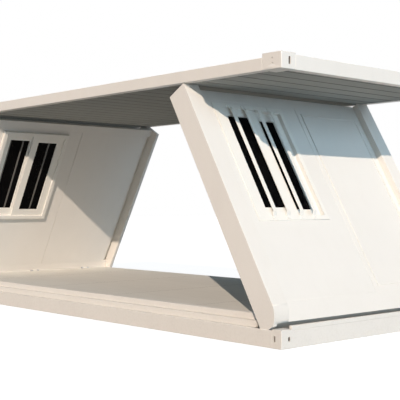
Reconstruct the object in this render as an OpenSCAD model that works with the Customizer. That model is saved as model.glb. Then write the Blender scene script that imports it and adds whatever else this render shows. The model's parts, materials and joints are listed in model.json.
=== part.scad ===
// Foldable container house, partly folded: a base frame with a floor, two end walls
// that lean inwards on hinges along the floor's ends, and a flat roof frame that
// lies on the walls' top outer corners. Both long sides are open.
// Origin: middle of the footprint, on the ground. +X runs to the near end wall,
// +Y runs to the back, +Z is up. All sizes are in millimetres.

/* [Plan] */
// Length over the end faces
house_l = 5950; // [5000:10:7000]
// Width over the side faces
house_w = 2570; // [2200:10:3000]

/* [Fold] */
// Lean of the end walls from upright, as stored
lean = 30; // [20:1:45]
// Hinge axis, in from the end face
hinge_in = 300; // [290:5:340]
// Room under a wall that lies folded on the floor
fold_gap = 5; // [5:1:12]
// Gap between a wall's top corner and the roof that lies on it
seat_gap = 0.4; // [0.3:0.1:1]
// Gap between the floor's end and an upright wall
floor_end_gap = 20; // [18:1:40]

/* [Base] */
// Height of the base side beams
side_beam_h = 140; // [120:5:160]
// Height of the base end beams, without their lip
end_beam_h = 146; // [130:2:150]
// Depth of the base end beams along the house
end_beam_d = 50; // [40:2:55]
// Set-back of a base end beam's face behind its lip and the castings
end_beam_in = 4; // [2:1:8]
// Height of the lip on a base end beam
lip_h = 29; // [15:1:35]
// Thickness of the lip on a base end beam
lip_t = 30; // [12:1:35]
// Length of a base corner casting along the house
base_casting_l = 100; // [85:1:105]
// Width of a base corner casting across the house
base_casting_w = 121; // [110:1:140]
// Wall of the corner castings
casting_t = 12; // [8:1:14]
// Height of the slot on a base casting's long-side face
side_slot_h = 51; // [40:1:60]
// Width of that slot
side_slot_w = 20; // [14:1:30]
// Height of the slot on a base casting's end face
end_slot_h = 37; // [30:1:60]
// Width of that slot
end_slot_w = 25; // [14:1:28]
// Middle of the long-side slot, in from the end face
side_slot_in = 75; // [64:1:76]
// Middle of the end slot, in from the side face
end_slot_in = 89; // [60:1:90]
// Height of a base corner casting
base_casting_h = 149; // [140:1:155]
// Width of the beams' flanges
flange_w = 80; // [60:5:90]
// Plate thickness of beams
beam_t = 6; // [4:1:8]

/* [Floor] */
// Height of the floor's top face
floor_z = 242; // [225:1:260]
// Thickness of the floor deck
deck_t = 20; // [15:1:30]
// Tread depth of each rounded step along the long sides
step_d = 50; // [30:5:60]
// Nose radius of those steps
nose_r = 12; // [4:1:20]
// Number of floor cross members
cross_n = 8; // [4:1:12]
// Width of a floor cross member
cross_w = 60; // [40:5:90]
// How far the deck reaches inside the upper step's nose
deck_inset = 50; // [30:5:70]
// Side gap between the cross members and the side beams' webs
member_gap = 2; // [1:1:4]
// Thickness of the pan under each end wall
pan_t = 4; // [3:1:6]
// Depth of that pan's top below the posts' feet
pan_drop = 12; // [8:1:20]

/* [Walls] */
// Thickness of the end walls at their posts
wall_t = 215; // [190:5:225]
// Face width of a post
post_w = 170; // [120:5:180]
// Depth of the infill below the posts' outer faces
infill_recess = 65; // [40:5:80]
// Thickness of the infill panels
panel_t = 45; // [38:1:60]
// Width of a post's web, the narrow part that reaches the inner face
web_w = 40; // [36:1:60]
// Open groove between the infill and that web, on the inner side
web_groove = 62; // [20:1:80]
// Drop of the posts' feet below the hinge axis
post_foot = 170; // [140:5:172]
// Drop of the bottom rail below the hinge axis
rail_foot = 150; // [120:5:165]
// Height of the bottom rail above the hinge axis
rail_rise = 25; // [20:5:60]
// Height of the top rail
top_rail_h = 100; // [80:5:120]
// Gap between a wall's end face and the house's side face
wall_side_gap = 10; // [8:1:20]
// Wall of the posts' section
post_t = 5; // [4:1:8]
// Room between a turning post's foot and the base casting's edge
foot_room = 7; // [6:1:12]
// Width of the joint strip between the two panels
strip_w = 6; // [4:1:20]
// Place of the joint strip across the house, from the middle
strip_y = 145; // [0:5:200]
// Depth of the joint strip below the panels' faces
strip_inset = 2; // [1:1:8]
// Margin round the bead on the blank panel
bead_margin = 60; // [40:5:100]
// Width of that bead
bead_w = 25; // [15:1:35]
// How far the bead stands out
bead_out = 8; // [4:1:12]

/* [Windows] */
// Width of the window casing
casing_w = 900; // [800:10:1000]
// Height of the window casing
casing_h = 1200; // [900:10:1400]
// Face width of the casing's members
casing_bar = 45; // [40:5:80]
// How far the casing stands out of the infill
casing_out = 8; // [4:1:20]
// How far the inner casing stands out of the infill
casing_inner = 40; // [30:1:60]
// Gap between the casing's head and the top rail
head_gap = 32; // [10:2:100]
// Window's front edge, from the front post
casing_front = 144; // [40:5:160]
// Face width of a sash's stiles
sash_stile = 89; // [50:2:110]
// Face width of a sash's rails
sash_rail = 82; // [40:5:90]
// Thickness of a sash
sash_t = 34; // [25:1:36]
// Thickness of the glass
glass_t = 6; // [4:1:10]
// Depth of the outer sash's back below the infill's face
sash_in = 30; // [25:1:40]
// Overlap of the two sashes
sash_lap = 74; // [40:5:110]
// Gap between the two sashes' tracks
track_gap = 2; // [1:1:4]

/* [Roof] */
// Height of the roof's underside, as stored
roof_z = 2167; // [2100:1:2300]
// Height of a roof side beam's face
roof_side_h = 101; // [90:1:120]
// Height of a roof end beam's face
roof_end_h = 117; // [100:1:130]
// Height of a roof corner casting
roof_casting_h = 133; // [125:1:150]
// Length of a roof corner casting along the house
roof_casting_l = 208; // [150:1:240]
// Width of a roof corner casting across the house
roof_casting_w = 164; // [120:1:200]
// Height of the slot on a roof casting's end face
roof_slot_h = 65; // [50:1:80]
// Width of that slot
roof_slot_w = 25; // [18:1:32]
// Middle of that slot, in from the side face
roof_slot_in = 94; // [80:1:110]
// Radius of the two holes on a roof casting's long-side face
lug_hole_r = 6; // [4:1:8]
// Distance between those holes
lug_hole_pitch = 40; // [30:1:50]
// Place of those holes, in from the end face
lug_hole_in = 99; // [80:1:120]
// Thickness of the ceiling
ceiling_t = 12; // [8:1:20]
// Pitch of the ceiling's grooves
ceiling_pitch = 220; // [150:5:300]
// Width of a ceiling groove
groove_w = 10; // [4:1:16]
// Depth of a ceiling groove
groove_d = 5; // [2:1:6]
// Thickness of the roof sheet
sheet_t = 6; // [3:1:10]
// Pitch of the roof sheet's ribs
rib_pitch = 210; // [150:5:300]
// Height of a rib
rib_h = 15; // [8:1:20]
// Width of a rib's foot
rib_w = 60; // [40:2:80]
// Width of a rib's crown
crown_w = 28; // [15:1:38]
// Gap between the ribs' ends and the side beams' flanges
rib_gap = 6; // [3:1:20]
// Number of roof joists
joist_n = 9; // [5:1:15]

/* [Hinges] */
// Radius of a hinge pin
pin_r = 8; // [6:1:10]
// Running clearance round a pin
pin_gap = 0.06; // [0.03:0.01:0.1]
// Depth of the bottom rail's ledge below the hinge axis
ledge_drop = 8; // [6:1:12]
// Outer radius of a hinge knuckle
knuckle_r = 14; // [12:1:16]
// Length of a base lug
lug_l = 25; // [15:1:40]
// Length of a wall knuckle
knuckle_l = 60; // [40:5:90]
// Side gap between lug and knuckle
lug_gap = 2; // [1:0.5:4]
// Room round a lug in the wall's bottom rail
scoop_gap = 5; // [4:1:8]
// Hinges on each wall
hinge_n = 3; // [2:1:5]
// Distance between hinges
hinge_pitch = 800; // [500:10:950]
// Radius of the hidden carrier pins
carrier_r = 20; // [15:1:30]
// End gap of those pins inside the posts
carrier_gap = 0.3; // [0.2:0.1:1]

/* [Hidden] */
$fn = 48;
eps = 1;

WALL_NODES = ["front_post", "back_post", "top_rail", "bottom_rail", "joint_strip", "window_panel",
              "blank_panel", "panel_bead", "window_casing", "window_sashes", "window_glass"];

paint = "ivory";
floor_paint = "lightgrey";
glass_tint = "black";
steel = "silver";

half_l = house_l / 2;
half_w = house_w / 2;

// Hinge axis of the near wall
hinge_x = half_l - hinge_in;
hinge_z = floor_z + fold_gap;
floor_end = hinge_x - floor_end_gap;
hinge_ys = [for (i = [0:hinge_n - 1]) (i - (hinge_n - 1) / 2) * hinge_pitch];

// Wall section, measured from the hinge axis: u outwards, s up the wall
infill_u = wall_t - infill_recess;
wall_top = (roof_z - seat_gap - hinge_z - wall_t * sin(lean)) / cos(lean);
wall_half = half_w - wall_side_gap;
infill_half = wall_half - post_w;
web_half = wall_half - web_w;
panel_half = web_half - web_groove;
infill_in = infill_u - panel_t;
panel_s0 = rail_rise;
panel_s1 = wall_top - top_rail_h;

// Radius of a post's foot round the hinge axis, which clears the base casting
foot_reach = norm([hinge_in - base_casting_l, hinge_z - base_casting_h]) - foot_room;

// Window, with y across the wall
casing_y0 = -infill_half + casing_front;
sill_s = panel_s1 - head_gap - casing_h;
casing_y1 = casing_y0 + casing_w;
window_y0 = casing_y0 + casing_bar;
window_y1 = casing_y1 - casing_bar;
window_s0 = sill_s + casing_bar;
window_s1 = sill_s + casing_h - casing_bar;
inner_casing_u = infill_in - casing_inner;
sash_w = (window_y1 - window_y0 + sash_lap) / 2;
sash_h = window_s1 - window_s0;
sash_u = infill_u - sash_in;

// Carrier pins: half way from the hinge axis to the wall's top outer corner
carrier_u = wall_t / 2;
carrier_s = wall_top / 2;

step_h = (floor_z - side_beam_h) / 2;

// Length of a cut through one wall of a casting, centred on its face
casting_cut = 2 * (casting_t + eps);
deck_half = half_w - 2 * step_d - deck_inset;

// A box from its low corner to its high corner
module span(low, high) {
    translate(low) cube(high - low);
}

// Mirrors the near end's shape to the far end
module far() {
    mirror([1, 0, 0]) children();
}

// Keeps the front shape and adds its mirror image at the back
module both_sides() {
    children();
    mirror([0, 1, 0]) children();
}

// Keeps the near shape and adds its mirror image at the far end
module both_ends() {
    children();
    far() children();
}

// Stands a shape drawn in the wall's own frame (u, y, s) at its stored lean
module lean_wall() {
    translate([hinge_x, 0, hinge_z]) rotate([0, -lean, 0]) children();
}

// A side beam: web outside, flanges inwards, drawn at the front
module channel_x(x0, x1, z0, z1) {
    span([x0, -half_w, z0], [x1, -half_w + beam_t, z1]);
    span([x0, -half_w, z0], [x1, -half_w + flange_w, z0 + beam_t]);
}

module front_side_beam() {
    color(paint) {
        run = half_l - base_casting_l;
        channel_x(-run, run, 0, side_beam_h);
        span([-floor_end, -half_w, side_beam_h - beam_t],
             [floor_end, -half_w + flange_w, side_beam_h]);
    }
}

module back_side_beam() {
    mirror([0, 1, 0]) front_side_beam();
}

module near_end_beam() {
    run = half_w - base_casting_w;
    color(paint) {
        face = half_l - end_beam_in;
        span([face - beam_t, -run, 0], [face, run, end_beam_h]);
        span([face - end_beam_d, -run, 0], [face, run, beam_t]);
        span([face - end_beam_d, -run, end_beam_h - beam_t], [face, run, end_beam_h]);
        span([half_l - lip_t, -run, end_beam_h - beam_t], [half_l, run, end_beam_h + lip_h]);
    }
}

module far_end_beam() {
    far() near_end_beam();
}

// A slot with round ends along Z, cut along the given axis
module slot_z(length, width, depth) {
    straight = length - width;
    for (end = [-1, 1]) translate([0, 0, end * straight / 2])
        rotate([90, 0, 0]) cylinder(d = width, h = depth, center = true);
    cube([width, depth, straight], center = true);
}

// Hollow corner casting, drawn at the near front corner, low corner at z0
module casting(length, width, height, z0) {
    difference() {
        span([half_l - length, -half_w, z0], [half_l, -half_w + width, z0 + height]);
        span([half_l - length + casting_t, -half_w + casting_t, z0 + casting_t],
             [half_l - casting_t, -half_w + width - casting_t, z0 + height - casting_t]);
        children();
    }
}

module base_castings() {
    color(paint) both_ends() both_sides()
        casting(base_casting_l, base_casting_w, base_casting_h, 0) {
            translate([half_l - side_slot_in, -half_w, base_casting_h / 2])
                slot_z(side_slot_h, side_slot_w, casting_cut);
            translate([half_l, -half_w + end_slot_in, base_casting_h / 2])
                rotate([0, 0, 90]) slot_z(end_slot_h, end_slot_w, casting_cut);
        }
}

module floor_cross_members() {
    run = floor_end - cross_w;
    low_half = half_w - beam_t - member_gap;
    color(paint) for (i = [0:cross_n - 1]) {
        x0 = -floor_end + i * (2 * run + cross_w) / (cross_n - 1);
        span([x0, -low_half, beam_t], [x0 + cross_w, low_half, side_beam_h - beam_t]);
        span([x0, -deck_half, side_beam_h - beam_t - eps],
             [x0 + cross_w, deck_half, floor_z - deck_t]);
    }
}

module floor_deck() {
    color(floor_paint) span([-floor_end, -deck_half, floor_z - deck_t],
                            [floor_end, deck_half, floor_z]);
}

// Section of a step with a round nose on its outer top edge
module nosed(depth, height) {
    translate([nose_r, 0]) square([depth - nose_r, height]);
    square([depth, height - nose_r]);
    translate([nose_r, height - nose_r]) circle(nose_r);
}

module floor_edge_steps() {
    inner = half_w - deck_half;
    color(floor_paint) both_sides()
        translate([floor_end, 0, 0]) rotate([90, 0, -90]) linear_extrude(2 * floor_end) {
            translate([-half_w + step_d, side_beam_h]) nosed(inner - step_d, step_h);
            translate([-half_w + 2 * step_d, side_beam_h]) nosed(inner - 2 * step_d, 2 * step_h);
        }
}

module trough_pans() {
    pan_top = hinge_z - post_foot - pan_drop;
    run = half_w - base_casting_w;
    color(paint) both_ends()
        span([floor_end, -run, pan_top - pan_t], [half_l - end_beam_in - beam_t, run, pan_top]);
}

module hinge_lugs() {
    color(steel) both_ends() for (y = hinge_ys, side = [-1, 1]) {
        y_mid = y + side * (knuckle_l / 2 + lug_gap + lug_l / 2);
        difference() {
            union() {
                translate([hinge_x, y_mid, hinge_z]) rotate([90, 0, 0])
                    cylinder(r = knuckle_r, h = lug_l, center = true);
                span([floor_end, y_mid - lug_l / 2, hinge_z - knuckle_r],
                     [hinge_x, y_mid + lug_l / 2, floor_z]);
            }
            translate([hinge_x, y_mid, hinge_z]) rotate([90, 0, 0])
                cylinder(r = pin_r + pin_gap, h = lug_l + 2 * eps, center = true);
        }
    }
}

module hinge_pins() {
    pin_l = knuckle_l + 2 * (lug_l + lug_gap);
    color(steel) both_ends() for (y = hinge_ys)
        translate([hinge_x, y, hinge_z]) rotate([90, 0, 0])
            cylinder(r = pin_r, h = pin_l, center = true);
}

// Side view of a post: its foot is rounded to pass the base casting
module post_side() {
    square([wall_t, wall_top]);
    intersection() {
        translate([0, -post_foot]) square([wall_t, post_foot + eps]);
        circle(foot_reach);
    }
}

// An L-shaped bar up the whole wall: flange along the outer face, web along the side.
// A positive shell makes it that much thinner on every side.
module post_angle(shell, s0, s1) {
    span([shell, -wall_half + shell, s0], [wall_t - shell, -web_half - shell, s1]);
    span([infill_u + shell, -wall_half + shell, s0], [wall_t - shell, -infill_half - shell, s1]);
}

module post() {
    difference() {
        intersection() {
            post_angle(0, -post_foot, wall_top);
            translate([0, -infill_half, 0]) rotate([90, 0, 0]) linear_extrude(post_w) post_side();
        }
        post_angle(post_t, panel_s0, panel_s1);
    }
}

module front_post() {
    color(paint) lean_wall() post();
}

module back_post() {
    color(paint) lean_wall() mirror([0, 1, 0]) post();
}

module top_rail() {
    color(paint) lean_wall()
        span([infill_in, -web_half, panel_s1], [infill_u, web_half, wall_top]);
}

// Section of the bottom rail: a ledge, level as stored, runs from the hinges to the infill
module rail_side() {
    polygon([[0, -rail_foot], [infill_u, -rail_foot], [infill_u, panel_s0], [infill_in, panel_s0],
             [infill_in, -ledge_drop - infill_in * tan(lean)], [0, -ledge_drop]]);
}

// Bottom rail with a scoop for each base lug and a knuckle between them
module bottom_rail() {
    scoop_r = knuckle_r + scoop_gap;
    scoop_l = lug_l + lug_gap + eps;
    color(paint) lean_wall() difference() {
        union() {
            translate([0, web_half, 0]) rotate([90, 0, 0]) linear_extrude(2 * web_half) rail_side();
            for (y = hinge_ys) translate([0, y, 0]) rotate([90, 0, 0])
                cylinder(r = knuckle_r, h = knuckle_l, center = true);
        }
        for (y = hinge_ys, side = [-1, 1])
            translate([0, y + side * (knuckle_l + scoop_l) / 2, 0]) rotate([90, 0, 0])
                cylinder(r = scoop_r, h = scoop_l, center = true);
        for (y = hinge_ys) translate([0, y, 0]) rotate([90, 0, 0])
            cylinder(r = pin_r + pin_gap, h = knuckle_l + 2 * scoop_l, center = true);
    }
}

module joint_strip() {
    color(paint) lean_wall()
        span([infill_in + strip_inset, strip_y - strip_w / 2, panel_s0],
             [infill_u - strip_inset, strip_y + strip_w / 2, panel_s1]);
}

module window_panel() {
    color(paint) lean_wall() difference() {
        span([infill_in, -panel_half, panel_s0], [infill_u, strip_y - strip_w / 2, panel_s1]);
        span([-eps, window_y0, window_s0], [wall_t, window_y1, window_s1]);
    }
}

module blank_panel() {
    color(paint) lean_wall()
        span([infill_in, strip_y + strip_w / 2, panel_s0], [infill_u, panel_half, panel_s1]);
}

// A flat rectangular frame in the wall's plane: its upright and level members may differ
module flat_frame(u0, u1, y0, y1, s0, s1, upright, level) {
    difference() {
        span([u0, y0, s0], [u1, y1, s1]);
        span([u0 - eps, y0 + upright, s0 + level], [u1 + eps, y1 - upright, s1 - level]);
    }
}

module panel_bead() {
    color(paint) lean_wall()
        flat_frame(infill_u, infill_u + bead_out,
                   strip_y + bead_margin, infill_half - bead_margin,
                   panel_s0 + bead_margin, panel_s1 - bead_margin, bead_w, bead_w);
}

// A low casing on the outer face, and a deeper one on the inner face
module window_casing() {
    color(paint) lean_wall()
        for (u = [[infill_u, infill_u + casing_out], [inner_casing_u, infill_in]])
            flat_frame(u[0], u[1], casing_y0, casing_y1, sill_s, sill_s + casing_h,
                       casing_bar, casing_bar);
}

// Two sliding sashes, the outer one in front
module each_sash() {
    for (i = [0, 1])
        translate([sash_u - i * (sash_t + track_gap), window_y0 + i * (sash_w - sash_lap), window_s0])
            children();
}

module window_sashes() {
    color(paint) lean_wall() each_sash()
        flat_frame(0, sash_t, 0, sash_w, 0, sash_h, sash_stile, sash_rail);
}

module window_glass() {
    color(glass_tint) lean_wall() each_sash()
        span([(sash_t - glass_t) / 2, sash_stile, sash_rail],
             [(sash_t + glass_t) / 2, sash_w - sash_stile, sash_h - sash_rail]);
}

// Two short pins inside the near wall's hollow posts. They stand for no piece of the
// house: they carry the roof's straight lift in the fold.
module fold_carrier() {
    color(steel) lean_wall() both_sides()
        translate([carrier_u, -web_half - post_t - carrier_gap, carrier_s]) rotate([90, 0, 0])
            cylinder(r = carrier_r, h = web_w - 2 * (post_t + carrier_gap));
}

module roof_front_beam() {
    run = half_l - roof_casting_l;
    top = roof_z + roof_side_h;
    color(paint) {
        channel_x(-run, run, roof_z, top);
        span([-run, -half_w, top - beam_t], [run, -half_w + flange_w, top]);
    }
}

module roof_back_beam() {
    mirror([0, 1, 0]) roof_front_beam();
}

module roof_near_beam() {
    run = half_w - roof_casting_w;
    top = roof_z + roof_end_h;
    color(paint) {
        span([half_l - beam_t, -run, roof_z], [half_l, run, top]);
        span([half_l - flange_w, -run, roof_z], [half_l, run, roof_z + beam_t]);
        span([half_l - flange_w, -run, top - beam_t], [half_l, run, top]);
    }
}

module roof_far_beam() {
    far() roof_near_beam();
}

module roof_castings() {
    color(paint) both_ends() both_sides()
        casting(roof_casting_l, roof_casting_w, roof_casting_h, roof_z) {
            translate([half_l, -half_w + roof_slot_in, roof_z + roof_casting_h / 2])
                rotate([0, 0, 90]) slot_z(roof_slot_h, roof_slot_w, casting_cut);
            for (dz = [-lug_hole_pitch, lug_hole_pitch] / 2)
                translate([half_l - lug_hole_in, -half_w, roof_z + roof_casting_h / 2 + dz])
                    rotate([90, 0, 0]) cylinder(r = lug_hole_r, h = casting_cut, center = true);
        }
}

// The room that the corner castings take in a roof layer
module casting_corners(z0, z1) {
    both_ends() both_sides()
        span([half_l - roof_casting_l, -half_w, z0 - eps],
             [half_l, -half_w + roof_casting_w, z1 + eps]);
}

module roof_ceiling() {
    run_x = half_l - flange_w;
    run_y = half_w - flange_w;
    groove_n = floor(run_x / ceiling_pitch);
    color(paint) difference() {
        span([-run_x, -run_y, roof_z], [run_x, run_y, roof_z + ceiling_t]);
        for (i = [-groove_n:groove_n])
            span([i * ceiling_pitch - groove_w / 2, -run_y - eps, roof_z - eps],
                 [i * ceiling_pitch + groove_w / 2, run_y + eps, roof_z + groove_d]);
        casting_corners(roof_z, roof_z + ceiling_t);
    }
}

module roof_joists() {
    run_x = half_l - roof_casting_l - cross_w;
    run_y = half_w - flange_w;
    color(paint) for (i = [0:joist_n - 1]) {
        x0 = -run_x + i * (2 * run_x - cross_w) / (joist_n - 1);
        span([x0, -run_y, roof_z + ceiling_t],
             [x0 + cross_w, run_y, roof_z + roof_side_h - beam_t - sheet_t]);
    }
}

// Section of a roof rib
module rib_section() {
    polygon([[-rib_w / 2, 0], [rib_w / 2, 0], [crown_w / 2, rib_h], [-crown_w / 2, rib_h]]);
}

// Sheet with ribs across the house, between the side beams' flanges
module roof_sheet() {
    run_x = half_l - beam_t;
    run_y = half_w - beam_t;
    rib_run = half_w - flange_w - rib_gap;
    rib_n = floor((half_l - roof_casting_l - rib_w / 2) / rib_pitch);
    top = roof_z + roof_side_h - beam_t;
    color(paint) {
        difference() {
            span([-run_x, -run_y, top - sheet_t], [run_x, run_y, top]);
            casting_corners(top - sheet_t, top);
        }
        for (i = [-rib_n:rib_n])
            translate([i * rib_pitch, rib_run, top]) rotate([90, 0, 0])
                linear_extrude(2 * rib_run) rib_section();
    }
}

front_side_beam();
back_side_beam();
near_end_beam();
far_end_beam();
base_castings();
floor_cross_members();
floor_deck();
floor_edge_steps();
trough_pans();
hinge_lugs();
hinge_pins();
front_post();  // near_front_post
back_post();  // near_back_post
top_rail();  // near_top_rail
bottom_rail();  // near_bottom_rail
joint_strip();  // near_joint_strip
window_panel();  // near_window_panel
blank_panel();  // near_blank_panel
panel_bead();  // near_panel_bead
window_casing();  // near_window_casing
window_sashes();  // near_window_sashes
window_glass();  // near_window_glass
far() front_post();  // far_front_post
far() back_post();  // far_back_post
far() top_rail();  // far_top_rail
far() bottom_rail();  // far_bottom_rail
far() joint_strip();  // far_joint_strip
far() window_panel();  // far_window_panel
far() blank_panel();  // far_blank_panel
far() panel_bead();  // far_panel_bead
far() window_casing();  // far_window_casing
far() window_sashes();  // far_window_sashes
far() window_glass();  // far_window_glass
fold_carrier();
roof_front_beam();
roof_back_beam();
roof_near_beam();
roof_far_beam();
roof_castings();
roof_joists();
roof_sheet();
roof_ceiling();
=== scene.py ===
# %% [markdown]
# # A foldable container house, half unfolded
# The house ships flat and opens like a box: the roof frame is lifted, and the two end walls
# stand up on hinges under it. Here the walls still lean inwards and the roof lies on their
# top corners. The steel model is loaded first, and every piece made below is measured from it.

# %% Load the model
import bpy, bmesh, json, math
from mathutils import Matrix, Vector


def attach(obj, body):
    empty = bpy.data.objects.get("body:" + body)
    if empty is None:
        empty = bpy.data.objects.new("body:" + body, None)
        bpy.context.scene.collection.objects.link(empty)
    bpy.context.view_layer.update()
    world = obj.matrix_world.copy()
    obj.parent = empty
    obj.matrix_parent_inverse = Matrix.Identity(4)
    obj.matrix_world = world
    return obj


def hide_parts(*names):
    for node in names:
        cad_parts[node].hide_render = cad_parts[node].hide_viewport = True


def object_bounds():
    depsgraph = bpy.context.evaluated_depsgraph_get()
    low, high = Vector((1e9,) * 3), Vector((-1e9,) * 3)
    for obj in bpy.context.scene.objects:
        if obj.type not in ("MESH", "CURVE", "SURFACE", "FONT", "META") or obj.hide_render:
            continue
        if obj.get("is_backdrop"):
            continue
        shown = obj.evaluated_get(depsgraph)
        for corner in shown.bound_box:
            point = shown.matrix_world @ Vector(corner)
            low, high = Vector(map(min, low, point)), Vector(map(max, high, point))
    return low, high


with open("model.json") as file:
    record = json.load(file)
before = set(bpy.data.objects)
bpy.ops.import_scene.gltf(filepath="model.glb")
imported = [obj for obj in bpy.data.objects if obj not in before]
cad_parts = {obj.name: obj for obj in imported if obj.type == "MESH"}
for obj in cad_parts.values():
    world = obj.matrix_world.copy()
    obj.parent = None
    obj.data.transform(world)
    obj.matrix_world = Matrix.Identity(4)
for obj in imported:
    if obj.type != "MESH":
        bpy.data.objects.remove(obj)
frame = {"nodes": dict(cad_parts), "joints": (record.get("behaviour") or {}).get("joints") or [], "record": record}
cad_box = [list(corner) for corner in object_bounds()]
nodes = frame["nodes"]
print("model box in metres:", cad_box)

# %% [markdown]
# ## The view
# The camera stands a little over a metre up, off the near front corner, with a long lens and
# a level view, so that the upright edges stay parallel. A small upward shift places the
# horizon, which keeps the verticals straight where a tilt would make them lean together.

# %% Camera
near_corner = Vector((cad_box[1][0], cad_box[0][1], cad_box[0][2]))
eye_from_corner = Vector((4.737, -5.092, 1.108))
view_line = Vector((-0.744, 0.668, 0.0))
camera_data = bpy.data.cameras.new("house_camera")
camera_data.sensor_width = 36.0
camera_data.lens = 81.3
camera_data.shift_y = 0.014
camera_data.clip_end = 500.0
camera = bpy.data.objects.new("house_camera", camera_data)
bpy.context.scene.collection.objects.link(camera)
camera.location = near_corner + eye_from_corner
camera.rotation_euler = view_line.to_track_quat("-Z", "Y").to_euler()
bpy.context.scene.camera = camera
print("camera at", [round(v, 3) for v in camera.location])

# %% [markdown]
# ## The ground and the light
# A plain pale ground catches the shadow. A warm key lamp stands low off the near front corner,
# as a late sun does, and lights the near end wall and the long side alike. It is about as
# narrow as the sun, which keeps the shadows' edges crisp. A cool, very broad lamp fills the
# near end, and a pale blue sky fills the rest, so the shade under the roof turns blue-grey.
# The ground and the sky read as white to the camera, in reflections and through glass.

# %% Rays that meet the surround
def maths(tree, operation, a, b=0.0):
    """One Math node; a and b are sockets or plain numbers."""
    node = tree.nodes.new("ShaderNodeMath")
    node.operation = operation
    for slot_number, value in enumerate((a, b)):
        if isinstance(value, (int, float)):
            node.inputs[slot_number].default_value = value
        else:
            tree.links.new(value, node.inputs[slot_number])
    return node.outputs[0]


def seen_directly(tree):
    """One where a ray comes from the camera, a gloss or glass, and nought elsewhere."""
    path = tree.nodes.new("ShaderNodeLightPath").outputs
    camera_or_gloss = maths(tree, "MAXIMUM", path["Is Camera Ray"], path["Is Glossy Ray"])
    return maths(tree, "MAXIMUM", camera_or_gloss, path["Is Transmission Ray"])


print("the surround is white to camera, glossy and transmitted rays")

# %% Ground
ground_half, ground_drop, ground_glow = 60.0, 0.002, 0.85
ground_bm = bmesh.new()
bmesh.ops.create_grid(ground_bm, x_segments=1, y_segments=1, size=ground_half)
ground_mesh = bpy.data.meshes.new("ground")
ground_bm.to_mesh(ground_mesh)
ground_bm.free()
ground = bpy.data.objects.new("ground", ground_mesh)
bpy.context.scene.collection.objects.link(ground)
ground.location = (0.0, 0.0, cad_box[0][2] - ground_drop)
ground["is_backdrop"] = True

pale_ground = bpy.data.materials.new("pale_ground")
pale_ground.use_nodes = True
tree = pale_ground.node_tree
ground_skin = tree.nodes["Principled BSDF"]
ground_skin.inputs["Base Color"].default_value = (0.30, 0.30, 0.30, 1.0)
ground_skin.inputs["Roughness"].default_value = 0.9
ground_skin.inputs["Emission Color"].default_value = (1.0, 1.0, 1.0, 1.0)
glow = maths(tree, "MULTIPLY", seen_directly(tree), ground_glow)
tree.links.new(glow, ground_skin.inputs["Emission Strength"])
ground_mesh.materials.append(pale_ground)
print("ground at", round(ground.location.z, 3), "m")

# %% Sky
sky_fill, surround_white = 0.20, 1.0
sky = bpy.data.worlds.new("pale_sky")
bpy.context.scene.world = sky
sky.use_nodes = True
tree = sky.node_tree
tree.nodes.clear()
soft_fill = tree.nodes.new("ShaderNodeBackground")
soft_fill.inputs["Color"].default_value = (0.62, 0.81, 1.0, 1.0)
soft_fill.inputs["Strength"].default_value = sky_fill
white_surround = tree.nodes.new("ShaderNodeBackground")
white_surround.inputs["Color"].default_value = (1.0, 1.0, 1.0, 1.0)
white_surround.inputs["Strength"].default_value = surround_white
choose = tree.nodes.new("ShaderNodeMixShader")
out = tree.nodes.new("ShaderNodeOutputWorld")
tree.links.new(seen_directly(tree), choose.inputs["Fac"])
tree.links.new(soft_fill.outputs[0], choose.inputs[1])
tree.links.new(white_surround.outputs[0], choose.inputs[2])
tree.links.new(choose.outputs[0], out.inputs["Surface"])
bpy.context.scene.view_settings.view_transform = "Standard"
print("sky fill", sky_fill, "surround", surround_white)

# %% Lamps
def distant_lamp(name, travel, strength, spread, colour):
    """A distant lamp whose light travels along the given direction."""
    lamp = bpy.data.lights.new(name, "SUN")
    lamp.energy = strength
    lamp.angle = math.radians(spread)
    lamp.color = colour
    holder = bpy.data.objects.new(name, lamp)
    bpy.context.scene.collection.objects.link(holder)
    holder.rotation_euler = Vector(travel).to_track_quat("-Z", "Y").to_euler()
    print(name, "strength", strength, "spread", spread, "degrees")


distant_lamp("key_light", (-0.631, 0.658, -0.411), 3.36, 0.6, (1.0, 0.83, 0.70))
distant_lamp("end_fill", (-0.95, 0.05, -0.10), 1.75, 40, (0.54, 0.80, 1.0))

# %% [markdown]
# ## Paint
# Everything steel here is sprayed. Sprayed paint is never one flat colour: it clouds a little
# over a metre, runs faintly downwards where rain dries, has a fine orange-peel skin, and picks
# up a haze of dust near the ground. One node group holds those four effects, and each paint
# uses it with its own strengths.

# %% Painted skin group
def new_socket(group, name, direction, kind, value=None, low=None, high=None):
    """Adds one named input or output to a group, with its default and its range."""
    socket = group.interface.new_socket(name=name, in_out=direction, socket_type=kind)
    if value is not None:
        socket.default_value = value
    if low is not None:
        socket.min_value, socket.max_value = low, high


def add_noise(group, source, scale, detail, stretch=(1.0, 1.0, 1.0)):
    """Noise on the object's own coordinates, stretched where stretch is below one."""
    place = group.nodes.new("ShaderNodeMapping")
    place.inputs["Scale"].default_value = stretch
    noise = group.nodes.new("ShaderNodeTexNoise")
    noise.inputs["Scale"].default_value = scale
    noise.inputs["Detail"].default_value = detail
    group.links.new(source, place.inputs["Vector"])
    group.links.new(place.outputs[0], noise.inputs["Vector"])
    return noise.outputs["Fac"]


def ramp_value(group, source, low, high, to_low, to_high):
    """Maps a value from one range to another, clamped."""
    step = group.nodes.new("ShaderNodeMapRange")
    step.clamp = True
    for name, value in (("From Min", low), ("From Max", high),
                        ("To Min", to_low), ("To Max", to_high)):
        step.inputs[name].default_value = value
    group.links.new(source, step.inputs["Value"])
    return step.outputs["Result"]


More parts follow.
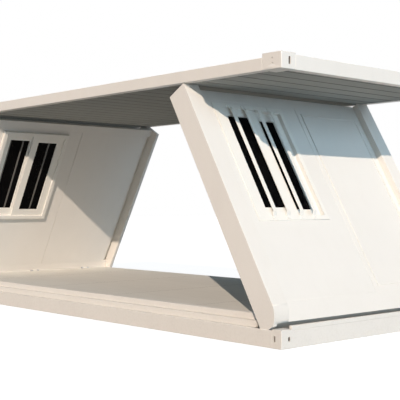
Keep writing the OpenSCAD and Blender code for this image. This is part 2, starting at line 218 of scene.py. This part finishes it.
def blend_colour(group, amount, first, second):
    """Mixes two colours; each is a socket or an RGBA."""
    node = group.nodes.new("ShaderNodeMix")
    node.data_type = "RGBA"
    group.links.new(amount, node.inputs[0])
    for socket, value in ((node.inputs[6], first), (node.inputs[7], second)):
        if isinstance(value, tuple):
            socket.default_value = value
        else:
            group.links.new(value, socket)
    return node.outputs[2]


skin = bpy.data.node_groups.new("painted_skin", "ShaderNodeTree")
new_socket(skin, "Paint", "INPUT", "NodeSocketColor", (0.8, 0.8, 0.8, 1.0))
new_socket(skin, "Clouding", "INPUT", "NodeSocketFloat", 0.05, 0.0, 1.0)
new_socket(skin, "Streaks", "INPUT", "NodeSocketFloat", 0.05, 0.0, 1.0)
new_socket(skin, "Dust", "INPUT", "NodeSocketFloat", 0.1, 0.0, 1.0)
new_socket(skin, "Gloss roughness", "INPUT", "NodeSocketFloat", 0.35, 0.0, 1.0)
new_socket(skin, "Colour", "OUTPUT", "NodeSocketColor")
new_socket(skin, "Roughness", "OUTPUT", "NodeSocketFloat")
new_socket(skin, "Height", "OUTPUT", "NodeSocketFloat")
skin_in = skin.nodes.new("NodeGroupInput")
skin_out = skin.nodes.new("NodeGroupOutput")
where = skin.nodes.new("ShaderNodeTexCoord").outputs["Object"]
clouds = ramp_value(skin, add_noise(skin, where, 1.3, 3.0), 0.35, 0.7, 0.0, 1.0)
down_the_wall = (1.0, 1.0, 0.06)
runs = ramp_value(skin, add_noise(skin, where, 9.0, 4.0, down_the_wall), 0.48, 0.75, 0.0, 1.0)
specks = ramp_value(skin, add_noise(skin, where, 55.0, 3.0), 0.45, 0.8, 0.0, 1.0)
peel = add_noise(skin, where, 420.0, 2.0)
split = skin.nodes.new("ShaderNodeSeparateXYZ")
skin.links.new(where, split.inputs[0])
dust_top, dust_left_above = 0.55, 0.12
low_down = ramp_value(skin, split.outputs["Z"], 0.0, dust_top, 1.0, dust_left_above)
speckled = maths(skin, "ADD", maths(skin, "MULTIPLY", specks, 0.5), 0.5)
dusty = maths(skin, "MULTIPLY", low_down, speckled)
dusty = maths(skin, "MULTIPLY", dusty, skin_in.outputs["Dust"])
darker = skin.nodes.new("ShaderNodeHueSaturation")
darker.inputs["Value"].default_value = 0.72
darker.inputs["Saturation"].default_value = 1.2
skin.links.new(skin_in.outputs["Paint"], darker.inputs["Color"])
shade = maths(skin, "ADD", maths(skin, "MULTIPLY", clouds, skin_in.outputs["Clouding"]),
              maths(skin, "MULTIPLY", runs, skin_in.outputs["Streaks"]))
coloured = blend_colour(skin, shade, skin_in.outputs["Paint"], darker.outputs[0])
dust_colour = (0.42, 0.38, 0.31, 1.0)
coloured = blend_colour(skin, dusty, coloured, dust_colour)
skin.links.new(coloured, skin_out.inputs["Colour"])
dulled = maths(skin, "ADD", maths(skin, "MULTIPLY", clouds, 0.06),
               maths(skin, "MULTIPLY", dusty, 0.5))
rough = maths(skin, "ADD", skin_in.outputs["Gloss roughness"], dulled)
skin.links.new(rough, skin_out.inputs["Roughness"])
surface = maths(skin, "ADD", peel, maths(skin, "MULTIPLY", clouds, 0.6))
skin.links.new(surface, skin_out.inputs["Height"])
print("painted_skin has", len(skin.nodes), "nodes")

# %% Paints from the group
# Painted shade: the near-black that marked faces turn to, in the castings' hollows and on the pane strips.
painted_shade_colour = (0.07, 0.065, 0.06, 1.0)
peel_depth = 0.0006


def painted(name, paint, clouding, streaks, dust, roughness, bump, specular=0.3):
    """A sprayed finish: the group gives colour, roughness and skin, the shader stays here."""
    material = bpy.data.materials.new(name)
    material.use_nodes = True
    tree = material.node_tree
    shader = tree.nodes["Principled BSDF"]
    use = tree.nodes.new("ShaderNodeGroup")
    use.node_tree = skin
    use.inputs["Paint"].default_value = (*paint, 1.0)
    use.inputs["Clouding"].default_value = clouding
    use.inputs["Streaks"].default_value = streaks
    use.inputs["Dust"].default_value = dust
    use.inputs["Gloss roughness"].default_value = roughness
    ripple = tree.nodes.new("ShaderNodeBump")
    ripple.inputs["Strength"].default_value = bump
    ripple.inputs["Distance"].default_value = peel_depth
    # Painted shade: faces that carry the mark turn from the paint to the near-black.
    painted_shade_mark = tree.nodes.new("ShaderNodeAttribute")
    painted_shade_mark.attribute_name = "painted_shade_mark"
    coat_and_shade = blend_colour(tree, painted_shade_mark.outputs["Fac"], use.outputs["Colour"], painted_shade_colour)
    tree.links.new(coat_and_shade, shader.inputs["Base Color"])
    tree.links.new(use.outputs["Roughness"], shader.inputs["Roughness"])
    tree.links.new(use.outputs["Height"], ripple.inputs["Height"])
    tree.links.new(ripple.outputs["Normal"], shader.inputs["Normal"])
    shader.inputs["Specular IOR Level"].default_value = specular
    print(name, "made")
    return material


finishes = {
    "frame_paint": painted("frame_paint", (0.81, 0.79, 0.745), 0.10, 0.07, 0.22, 0.40, 0.22),
    "panel_paint": painted("panel_paint", (0.80, 0.785, 0.745), 0.07, 0.05, 0.12, 0.40, 0.15),
    # Painted shade: the ceiling's paint is a mid grey in place of a pale one, so it reads as shaded under the
    # roof.
    "ceiling_paint": painted("ceiling_paint", (0.375, 0.39, 0.375), 0.10, 0.0, 0.0, 0.45, 0.06,
                             specular=0.0),
    "roof_sheet": painted("roof_sheet", (0.70, 0.71, 0.69), 0.16, 0.10, 0.0, 0.50, 0.2,
                          specular=0.15),
    "window_profile": painted("window_profile", (0.84, 0.83, 0.78), 0.05, 0.04, 0.10, 0.36, 0.08),
}

# %% [markdown]
# ## Painted shade in the ceiling's grooves
# The ceiling is grooved sheet. Each groove and its lips are darkened with painted shade, so
# each one reads as a dark line from below. The grooves are real in the steel model, and the
# painted shade is a mask on the distance from the nearest groove's middle, which fades over
# the lip. Half a turn is added to put that middle at 0.5, and a hundred whole ones to keep the value above nought.

# %% Groove shade, painted
groove_pitch, groove_half, lip_fade, groove_shade_strength = 0.220, 0.005, 0.009, 0.7
turns_added = 100.5
groove_shade_colour = (0.07, 0.07, 0.065, 1.0)
ceiling_tree = finishes["ceiling_paint"].node_tree
ceiling_shader = ceiling_tree.nodes["Principled BSDF"]
split = ceiling_tree.nodes.new("ShaderNodeSeparateXYZ")
where = ceiling_tree.nodes.new("ShaderNodeTexCoord").outputs["Object"]
ceiling_tree.links.new(where, split.inputs[0])
turns = maths(ceiling_tree, "DIVIDE", split.outputs["X"], groove_pitch)
turns = maths(ceiling_tree, "ADD", turns, turns_added)
part_turn = maths(ceiling_tree, "FRACT", turns)
aside = maths(ceiling_tree, "ABSOLUTE", maths(ceiling_tree, "SUBTRACT", part_turn, 0.5))
# Painted shade: each groove and its lips darken towards near-black.
groove_shade = ramp_value(ceiling_tree, aside, groove_half / groove_pitch,
                   (groove_half + lip_fade) / groove_pitch, groove_shade_strength, 0.0)
sprayed = ceiling_shader.inputs["Base Color"].links[0].from_socket
groove_shaded = blend_colour(ceiling_tree, groove_shade, sprayed, groove_shade_colour)
ceiling_tree.links.new(groove_shaded, ceiling_shader.inputs["Base Color"])
print("grooves every", groove_pitch, "m")

# %% [markdown]
# ## Floor, glass and zinc
# The floor is sealed board with a long grain and a dull face, and fine joints show where one
# board meets the next. The window glass is tinted almost black, with a faint haze. The hinges
# are zinc-plated, which looks mottled and a little brushed.

# %% Floor boards
def new_material(name):
    material = bpy.data.materials.new(name)
    material.use_nodes = True
    return material, material.node_tree, material.node_tree.nodes["Principled BSDF"]


board_length = 1.22
long_grain = (0.08, 1.0, 1.0)
floor_finish, tree, shader = new_material("floor_finish")
where = tree.nodes.new("ShaderNodeTexCoord").outputs["Object"]
split = tree.nodes.new("ShaderNodeSeparateXYZ")
tree.links.new(where, split.inputs[0])
shifted = maths(tree, "ADD", split.outputs["X"], 30.5 * board_length)
along = maths(tree, "FRACT", maths(tree, "DIVIDE", shifted, board_length))
from_joint = maths(tree, "ABSOLUTE", maths(tree, "SUBTRACT", along, 0.5))
joint_line = ramp_value(tree, from_joint, 0.4975, 0.4992, 0.0, 1.0)
mottle = ramp_value(tree, add_noise(tree, where, 2.2, 4.0, (0.35, 1.0, 1.0)), 0.3, 0.75, 0.0, 1.0)
grain = ramp_value(tree, add_noise(tree, where, 60.0, 5.0, long_grain), 0.35, 0.75, 0.0, 1.0)
tone = maths(tree, "ADD", maths(tree, "MULTIPLY", mottle, 0.6), maths(tree, "MULTIPLY", grain, 0.4))
board = blend_colour(tree, tone, (0.83, 0.82, 0.765, 1.0), (0.75, 0.74, 0.69, 1.0))
board = blend_colour(tree, joint_line, board, (0.16, 0.15, 0.13, 1.0))
tree.links.new(board, shader.inputs["Base Color"])
rough = maths(tree, "ADD", maths(tree, "MULTIPLY", grain, 0.08), 0.16)
tree.links.new(rough, shader.inputs["Roughness"])
dip = tree.nodes.new("ShaderNodeBump")
dip.inputs["Strength"].default_value = 0.35
dip.inputs["Distance"].default_value = 0.001
board_height = maths(tree, "SUBTRACT", maths(tree, "MULTIPLY", grain, 0.2), joint_line)
tree.links.new(board_height, dip.inputs["Height"])
tree.links.new(dip.outputs["Normal"], shader.inputs["Normal"])
shader.inputs["Specular IOR Level"].default_value = 0.0
finishes["floor_finish"] = floor_finish
print("floor boards of", board_length, "m")

# %% Tinted glass
dark_glass, tree, shader = new_material("dark_glass")
where = tree.nodes.new("ShaderNodeTexCoord").outputs["Object"]
haze = ramp_value(tree, add_noise(tree, where, 3.0, 4.0, (1.0, 1.0, 0.3)), 0.45, 0.8, 0.0, 1.0)
tint = blend_colour(tree, haze, (0.001, 0.001, 0.0015, 1.0), (0.004, 0.004, 0.0045, 1.0))
tree.links.new(tint, shader.inputs["Base Color"])
rough = maths(tree, "ADD", maths(tree, "MULTIPLY", haze, 0.06), 0.05)
tree.links.new(rough, shader.inputs["Roughness"])
shader.inputs["Specular IOR Level"].default_value = 0.04
finishes["dark_glass"] = dark_glass
print("dark glass made")

# %% Zinc
zinc, tree, shader = new_material("zinc_steel")
where = tree.nodes.new("ShaderNodeTexCoord").outputs["Object"]
spangle = tree.nodes.new("ShaderNodeTexVoronoi")
spangle.inputs["Scale"].default_value = 90.0
tree.links.new(where, spangle.inputs["Vector"])
brush = add_noise(tree, where, 300.0, 2.0, (1.0, 0.05, 1.0))
patch = ramp_value(tree, spangle.outputs["Distance"], 0.0, 0.7, 0.0, 1.0)
spangled = blend_colour(tree, patch, (0.52, 0.53, 0.54, 1.0), (0.68, 0.69, 0.70, 1.0))
tree.links.new(spangled, shader.inputs["Base Color"])
brushed = maths(tree, "ADD", maths(tree, "MULTIPLY", brush, 0.12), 0.26)
rough = maths(tree, "ADD", maths(tree, "MULTIPLY", patch, 0.15), brushed)
tree.links.new(rough, shader.inputs["Roughness"])
shader.inputs["Metallic"].default_value = 1.0
finishes["zinc_steel"] = zinc
print("finishes:", sorted(finishes))

# %% [markdown]
# ## Rounded steel
# Beams, posts, rails and panels are bent from sheet, and the castings come out of a mould, so
# none of them has a knife edge. Each is a copy of its solid with the loose triangles merged
# into whole faces and the long edges rounded. Only the narrow faces of those roundings are
# shaded as curved, so the wide faces stay flat. The inner faces of each corner casting's
# hollow carry a mark, and the paint turns near-black there: painted shade for the hollow.

# %% Copy and round a member
slot_of = {part["node"]: part["material_slot"] for part in frame["record"]["subparts"]}
body_of = {name: body for body, names in frame["record"]["behaviour"]["bodies"].items()
           for name in names}


def round_edges(bm, edges, radius):
    """Rounds the given edges in two steps."""
    bmesh.ops.bevel(bm, geom=edges, offset=radius, offset_type="OFFSET", segments=2,
                    profile=0.5, affect="EDGES", clamp_overlap=True, material=-1)


def finish_piece(bm, name, body, slot_name, replaced=(), narrow=0.02):
    """Makes a piece that rides on a body; only its narrow faces are shaded as curved."""
    mesh = bpy.data.meshes.new(name)
    bm.to_mesh(mesh)
    bm.free()
    piece = bpy.data.objects.new(name, mesh)
    bpy.context.scene.collection.objects.link(piece)
    mesh.materials.append(finishes[slot_name])
    for face in mesh.polygons:
        corners = [mesh.vertices[i].co for i in face.vertices]
        longest = max((a - b).length for a, b in zip(corners, corners[1:] + corners[:1]))
        face.use_smooth = face.area < narrow * longest
    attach(piece, body)
    for node in replaced:
        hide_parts(node)
    return piece


def mark_shaded_insides(bm, skin_depth=0.008):
    """Marks the faces that lie deeper than the skin of each casting, for painted shade there."""
    mark = bm.faces.layers.float.new("painted_shade_mark")
    for side_x, side_y in ((1, 1), (1, -1), (-1, 1), (-1, -1)):
        faces = [f for f in bm.faces if f.calc_center_median().x * side_x > 0
                 and f.calc_center_median().y * side_y > 0]
        points = [v.co for f in faces for v in f.verts]
        low = Vector([min(p[i] for p in points) + skin_depth for i in range(3)])
        high = Vector([max(p[i] for p in points) - skin_depth for i in range(3)])
        for f in faces:
            middle = f.calc_center_median()
            f[mark] = float(all(low[i] < middle[i] < high[i] for i in range(3)))
    print("unsprayed faces:", sum(1 for f in bm.faces if f[mark] > 0.5))


merge_within, flat_within, sharp_over, shortest_rounded = 0.00002, 0.5, 40, 0.045


def rounded_copy(node, radius):
    """A copy of a steel solid with its long sharp edges rounded."""
    bm = bmesh.new()
    bm.from_mesh(nodes[node].data)
    bmesh.ops.remove_doubles(bm, verts=bm.verts, dist=merge_within)
    bmesh.ops.dissolve_limit(bm, angle_limit=math.radians(flat_within), verts=bm.verts,
                             edges=bm.edges)
    long_edges = [e for e in bm.edges
                  if len(e.link_faces) == 2 and e.calc_length() > shortest_rounded
                  and e.calc_face_angle() > math.radians(sharp_over)]
    round_edges(bm, long_edges, radius)
    # Painted shade inside each casting's hollow.
    if node.endswith("castings"):
        mark_shaded_insides(bm)
    return finish_piece(bm, node + "_rounded", body_of[node], slot_of[node], [node])


ends = ("near_", "far_")
rounding = {
    "beams": (0.004, ["front_side_beam", "back_side_beam", "near_end_beam", "far_end_beam",
                      "roof_front_beam", "roof_back_beam", "roof_near_beam", "roof_far_beam"]),
    "castings": (0.005, ["base_castings", "roof_castings"]),
    "roof sheet": (0.004, ["roof_sheet"]),
    "posts": (0.005, [end + part for end in ends for part in ("front_post", "back_post")]),
    "rails and panels": (0.0012, [end + part for end in ends
                                  for part in ("top_rail", "bottom_rail", "window_panel",
                                               "blank_panel", "joint_strip")]),
    "window frames": (0.002, [end + part for end in ends
                              for part in ("window_casing", "window_sashes", "panel_bead")]),
}
for group_name, (radius, members) in rounding.items():
    made = [rounded_copy(member, radius) for member in members]
    print(group_name, len(made), "pieces,", sum(len(p.data.polygons) for p in made), "faces")

for name, node in nodes.items():
    node.data.materials.clear()
    node.data.materials.append(finishes[slot_of[name]])

# %% [markdown]
# ## The wall's own frame
# The end walls lean, and every piece on them is easier to make upright. Each is drawn with
# x outwards through the wall, y across it and z up it, measured from the hinge, and then
# turned to the lean in one step. The far wall is the mirror image.

# %% Wall frame
fold = {joint["name"]: joint for joint in frame["joints"]}
hinge = Vector(fold["near_wall_fold"]["pos_m"])
lean = math.radians(-fold["near_wall_fold"]["range_deg"][0])
to_near = Matrix.Translation(hinge) @ Matrix.Rotation(-lean, 4, "Y")
to_far = Matrix.Scale(-1.0, 4, (1.0, 0.0, 0.0)) @ to_near
wall_frames = {"near": to_near, "far": to_far}


def wall_box(node, end):
    """Lowest and highest corner of a node in its wall's own frame."""
    back = wall_frames[end].inverted()
    points = [back @ v.co for v in nodes[node].data.vertices]
    return (Vector([min(p[i] for p in points) for i in range(3)]),
            Vector([max(p[i] for p in points) for i in range(3)]))


def place_on_wall(bm, end):
    """Leans the drawn shape and keeps its faces pointing outwards."""
    bmesh.ops.transform(bm, matrix=wall_frames[end], verts=bm.verts)
    bmesh.ops.recalc_face_normals(bm, faces=bm.faces)


def add_bar(bm, low, high, radius):
    """A straight bar between two corners with its edges rounded."""
    low, high = Vector(low), Vector(high)
    made = bmesh.ops.create_cube(bm, size=1.0)["verts"]
    size = high - low
    bmesh.ops.scale(bm, vec=size, verts=made)
    bmesh.ops.translate(bm, vec=(low + high) / 2, verts=made)
    round_edges(bm, list({e for v in made for e in v.link_edges}), radius)


casing_low, casing_high = wall_box("near_window_casing", "near")
print("window casing, wall frame:", [round(v, 3) for v in casing_low],
      [round(v, 3) for v in casing_high])

# %% [markdown]
# ## Guard bars
# Four flat steel bars stand in front of each window and split each dark pane into two strips.
# Each bar is cranked back at both ends, so that a short foot meets the casing's face, and one
# screw holds each foot. The foot and the bar are one bent strip, drawn as a swept outline.
# The extrusion and the cone list their faces in another order on each run, and flat faces
# would then be cut into other triangles, so the finished bars are listed by place.

# %% Guard bars
bar_count, bar_face, bar_gap, bar_out, bar_thick = 4, 0.042, 0.171, 0.034, 0.006
bar_inset, foot, slope, bend_gain, bar_rounding = 0.012, 0.030, 0.030, 0.004, 0.0012
screw_inset, screw_radius, screw_height, crown_share = 0.027, 0.006, 0.003, 0.7
middle_bar = (bar_count - 1) / 2


def cranked_bar(bm, casing_face, y, s0, s1):
    """A flat bar whose ends step back to the casing, made by extruding its side outline."""
    front = casing_face + bar_out
    outline = [(casing_face, s0), (casing_face + bar_thick, s0),
               (casing_face + bar_thick, s0 + foot), (front, s0 + foot + slope),
               (front, s1 - foot - slope), (casing_face + bar_thick, s1 - foot),
               (casing_face + bar_thick, s1), (casing_face, s1),
               (casing_face, s1 - foot - bend_gain),
               (front - bar_thick, s1 - foot - slope - bend_gain),
               (front - bar_thick, s0 + foot + slope + bend_gain),
               (casing_face, s0 + foot + bend_gain)]
    verts = [bm.verts.new((u, y - bar_face / 2, s)) for u, s in outline]
    side = bm.faces.new(verts)
    swept = bmesh.ops.extrude_face_region(bm, geom=[side])["geom"]
    moved = [g for g in swept if isinstance(g, bmesh.types.BMVert)]
    bmesh.ops.translate(bm, vec=(0.0, bar_face, 0.0), verts=moved)
    sides = [side, *(g for g in swept if isinstance(g, bmesh.types.BMFace))]
    round_edges(bm, list({e for face in sides for e in face.edges}), bar_rounding)


def in_fixed_order(bm):
    """The same solid with its points and faces listed by their place."""
    def place(vert):
        return tuple(vert.co)

    rings = []
    for face in bm.faces:
        ring = list(face.verts)
        first = min(range(len(ring)), key=lambda i: place(ring[i]))
        rings.append(ring[first:] + ring[:first])
    fresh = bmesh.new()
    twin = {vert: fresh.verts.new(vert.co) for vert in sorted(bm.verts, key=place)}
    for ring in sorted(rings, key=lambda ring: [place(vert) for vert in ring]):
        fresh.faces.new([twin[vert] for vert in ring])
    bm.free()
    return fresh


def screw_head(bm, u, y, s):
    """A low round screw head that faces out of the wall."""
    middle = Matrix.Translation((u + screw_height / 2, y, s))
    turn = middle @ Matrix.Rotation(math.pi / 2, 4, "Y")
    bmesh.ops.create_cone(bm, cap_ends=True, segments=16, radius1=screw_radius,
                          radius2=screw_radius * crown_share, depth=screw_height, matrix=turn)


def guard_bars(end):
    """The bars of one window, with their screws, on the outer face of its casing."""
    low, high = wall_box(end + "_window_casing", end)
    middle = (low.y + high.y) / 2
    bm = bmesh.new()
    for i in range(bar_count):
        y = middle + (i - middle_bar) * bar_gap
        cranked_bar(bm, high.x, y, low.z + bar_inset, high.z - bar_inset)
        for s in (low.z + screw_inset, high.z - screw_inset):
            screw_head(bm, high.x + bar_thick, y, s)
    place_on_wall(bm, end)
    bm = in_fixed_order(bm)
    piece = finish_piece(bm, end + "_guard_bars", end + "_wall", "window_profile")
    print(piece.name, len(piece.data.polygons), "faces")


for end in wall_frames:
    guard_bars(end)

# %% [markdown]
# ## Meeting covers and painted bar lines on the panes
# Where the two sashes meet, a flat cover along the outer sash's edge laps over the inner one
# and keeps the draught out. Seen from the room, tinted glass lets the outer bars through as
# slim grey lines. The panes here are opaque, so three slim strips on their room side stand
# for those lines, at the bars' own spacing and a little beside them. They carry the castings'
# painted-shade mark at a little less than one, which turns their paint to a dark grey: painted
# shade for bars seen through tinted glass.

# %% Sash covers and strips
sash_lap, glass_thick = 0.074, 0.006
cover_reach, cover_tuck, cover_short, cover_back, cover_front = 0.040, 0.002, 0.004, 0.012, 0.003
strip_face, strip_aside, strip_depth, strip_clear, strip_shade = 0.020, 0.050, 0.005, 0.0003, 0.9
cover_rounding, strip_rounding = 0.0015, 0.0012


def sash_trim(end):
    """One window's cover on the meeting stiles, and the strips on its panes."""
    low, high = wall_box(end + "_window_sashes", end)
    meeting = (low.y + high.y + sash_lap) / 2
    bm = bmesh.new()
    add_bar(bm, (high.x - cover_back, meeting - cover_tuck, low.z + cover_short),
            (high.x - cover_front, meeting + cover_reach, high.z - cover_short), cover_rounding)
    place_on_wall(bm, end)
    cover = finish_piece(bm, end + "_sash_cover", end + "_wall", "window_profile")
    glass_low, glass_high = wall_box(end + "_window_glass", end)
    middle = (low.y + high.y) / 2
    bm = bmesh.new()
    for i in (0, 1, 3):
        y = middle + (i - middle_bar) * bar_gap - strip_aside
        pane_back = glass_low.x if i > 1 else glass_high.x - glass_thick
        add_bar(bm, (pane_back - strip_depth, y - strip_face / 2, glass_low.z),
                (pane_back - strip_clear, y + strip_face / 2, glass_high.z), strip_rounding)
    place_on_wall(bm, end)
    # Painted shade: the strips are dimmed to a dark grey, as bars seen through tinted glass.
    mark = bm.faces.layers.float.new("painted_shade_mark")
    for face in bm.faces:
        face[mark] = strip_shade
    strips = finish_piece(bm, end + "_pane_strips", end + "_wall", "window_profile")
    for piece in (cover, strips):
        print(piece.name, len(piece.data.polygons), "faces")


for end in wall_frames:
    sash_trim(end)

# %% [markdown]
# ## Measure the size
# Nothing made here should stand out of the steel model's box, so the box is measured again at the
# end and the move of each corner is printed.

# %% Sizes
visual_box = [list(corner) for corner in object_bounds()]
for corner, before, after in zip(("low", "high"), cad_box, visual_box):
    print(corner, "corner moved by, mm:", [round(1000 * (a - b), 1) for a, b in zip(after, before)])
